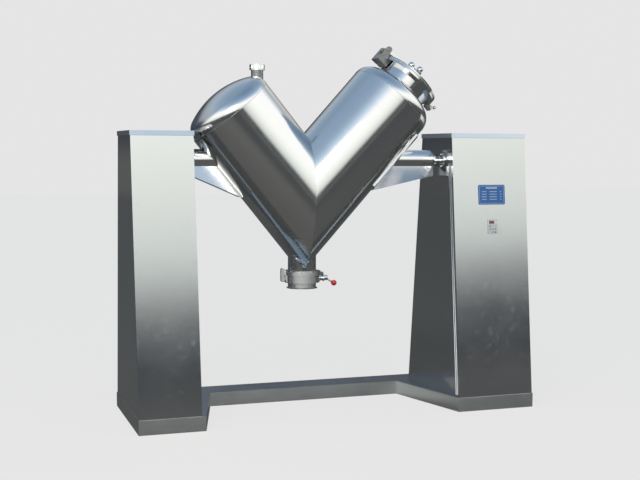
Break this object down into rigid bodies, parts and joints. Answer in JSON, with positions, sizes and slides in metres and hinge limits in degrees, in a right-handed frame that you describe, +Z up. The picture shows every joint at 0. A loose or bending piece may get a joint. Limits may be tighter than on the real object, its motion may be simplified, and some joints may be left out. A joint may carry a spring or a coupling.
{
  "type": "v mixer",
  "caption": "Stainless V-shaped powder mixer: a two-legged shell turned on a shaft between two tapered pedestals by a chain drive, with manway, port and valve",
  "frame": {"origin": "on the floor under the middle of the base", "axes": "+X along the shaft towards the drive pedestal, +Y towards the rear beam, +Z up"},
  "size_m": [2.1828, 0.716, 1.9631],
  "materials": {
    "satin_steel": "satin brushed",
    "polished_steel": "fine polished",
    "frame_steel": "grey primer",
    "cast_grey": "as cast, painted",
    "drive_steel": "oiled dark steel",
    "blue_paint": "satin enamel",
    "plate_blue": "anodised",
    "white_rubber": "smooth",
    "panel_plastic": "satin",
    "display": "gloss",
    "key_plastic": "satin"
  },
  "bodies": {
    "stand": {"left_foot": "satin_steel", "right_foot": "satin_steel", "rear_beam": "satin_steel", "left_frame": "frame_steel", "left_front_panel": "satin_steel", "left_back_panel": "satin_steel", "left_outer_panel": "satin_steel", "left_inner_panel_top": "satin_steel", "left_inner_panel_bottom": "satin_steel", "left_cap": "satin_steel", "right_frame": "frame_steel", "right_front_panel": "satin_steel", "right_back_panel": "satin_steel", "right_outer_panel": "satin_steel", "right_inner_panel_top": "satin_steel", "right_inner_panel_bottom": "satin_steel", "right_cap": "satin_steel", "left_bearing": "cast_grey", "right_bearing": "cast_grey", "drive_shelf": "frame_steel", "gear_reducer": "cast_grey", "drive_motor": "blue_paint", "drive_chain": "drive_steel", "rating_plate": "plate_blue", "control_unit": "panel_plastic", "display_window": "display"},
    "shell": {"left_leg": "polished_steel", "right_leg": "polished_steel", "left_head": "polished_steel", "right_head": "polished_steel", "left_saddle": "polished_steel", "right_saddle": "polished_steel", "left_gusset": "polished_steel", "right_gusset": "polished_steel", "left_trunnion": "polished_steel", "right_trunnion": "polished_steel", "shafts": "polished_steel", "big_sprocket": "drive_steel", "manway_neck": "polished_steel", "manway_gasket": "white_rubber", "hinge_bracket": "cast_grey", "port_ferrule": "polished_steel", "discharge_neck": "polished_steel", "discharge_clamp": "polished_steel", "valve_body": "polished_steel"},
    "drive_output": {"small_sprocket": "drive_steel"},
    "manway_bar": {"cross_bar": "polished_steel"},
    "lid": {"manway_lid": "polished_steel"},
    "hand_nut": {"hand_nut": "polished_steel"},
    "latch": {"latch_bolt": "polished_steel"},
    "port_disc": {"port_blank": "polished_steel"},
    "port_nut": {"ring_nut": "polished_steel"},
    "valve": {"valve_disc": "polished_steel", "valve_lever": "polished_steel"},
    "key_1": {"key_1": "key_plastic"},
    "key_2": {"key_2": "key_plastic"},
    "key_3": {"key_3": "key_plastic"},
    "key_4": {"key_4": "key_plastic"},
    "key_5": {"key_5": "key_plastic"},
    "key_6": {"key_6": "key_plastic"}
  },
  "joints": [
    {"name": "shell_rotation", "type": "hinge", "parent": "stand", "child": "shell", "pos_m": [-0.13592, 0, 1.352], "axis": [1, 0, 0], "continuous": true, "deforming": ["drive_chain"]},
    {"name": "drive_spin", "type": "hinge", "parent": "stand", "child": "drive_output", "pos_m": [0.78142, 0, 0.72495], "axis": [1, 0, 0], "continuous": true},
    {"name": "bar_swing", "type": "hinge", "parent": "shell", "child": "manway_bar", "pos_m": [0.33981, 0, 1.94608], "axis": [0, -1, 0], "range_deg": [0, 110]},
    {"name": "lid_lift", "type": "slide", "parent": "manway_bar", "child": "lid", "axis": [0.6704, 0, 0.742], "range_m": [0, 0.0075]},
    {"name": "nut_turn", "type": "hinge", "parent": "lid", "child": "hand_nut", "pos_m": [0.5066, 0, 1.8331], "axis": [0.6704, 0, 0.742], "range_deg": [0, 1080]},
    {"name": "latch_swing", "type": "hinge", "parent": "shell", "child": "latch", "pos_m": [0.596, 0, 1.63372], "axis": [0, -1, 0], "range_deg": [-8, 34]},
    {"name": "port_disc_lift", "type": "slide", "parent": "shell", "child": "port_disc", "axis": [0, 0, 1], "range_m": [0, 0.0126]},
    {"name": "port_nut_turn", "type": "hinge", "parent": "port_disc", "child": "port_nut", "pos_m": [-0.38493, 0, 1.83504], "axis": [0, 0, 1], "range_deg": [0, 1080]},
    {"name": "valve_turn", "type": "hinge", "parent": "shell", "child": "valve", "pos_m": [-0.13592, 0, 0.715], "axis": [1, 0, 0], "range_deg": [0, 90]},
    {"name": "key_1_press", "type": "slide", "parent": "stand", "child": "key_1", "axis": [0, 0.9939, -0.11], "range_m": [0, 0.0012], "stiffness_N_per_m": 400},
    {"name": "key_2_press", "type": "slide", "parent": "stand", "child": "key_2", "axis": [0, 0.9939, -0.11], "range_m": [0, 0.0012], "stiffness_N_per_m": 400},
    {"name": "key_3_press", "type": "slide", "parent": "stand", "child": "key_3", "axis": [0, 0.9939, -0.11], "range_m": [0, 0.0012], "stiffness_N_per_m": 400},
    {"name": "key_4_press", "type": "slide", "parent": "stand", "child": "key_4", "axis": [0, 0.9939, -0.11], "range_m": [0, 0.0012], "stiffness_N_per_m": 400},
    {"name": "key_5_press", "type": "slide", "parent": "stand", "child": "key_5", "axis": [0, 0.9939, -0.11], "range_m": [0, 0.0012], "stiffness_N_per_m": 400},
    {"name": "key_6_press", "type": "slide", "parent": "stand", "child": "key_6", "axis": [0, 0.9939, -0.11], "range_m": [0, 0.0012], "stiffness_N_per_m": 400}
  ],
  "couplings": [
    {"joint": "drive_spin", "follows": "shell_rotation", "ratio": 1.6471},
    {"joint": "lid_lift", "follows": "nut_turn", "m_per_rad": 0.00039789},
    {"joint": "port_disc_lift", "follows": "port_nut_turn", "m_per_rad": 0.00066845}
  ]
}
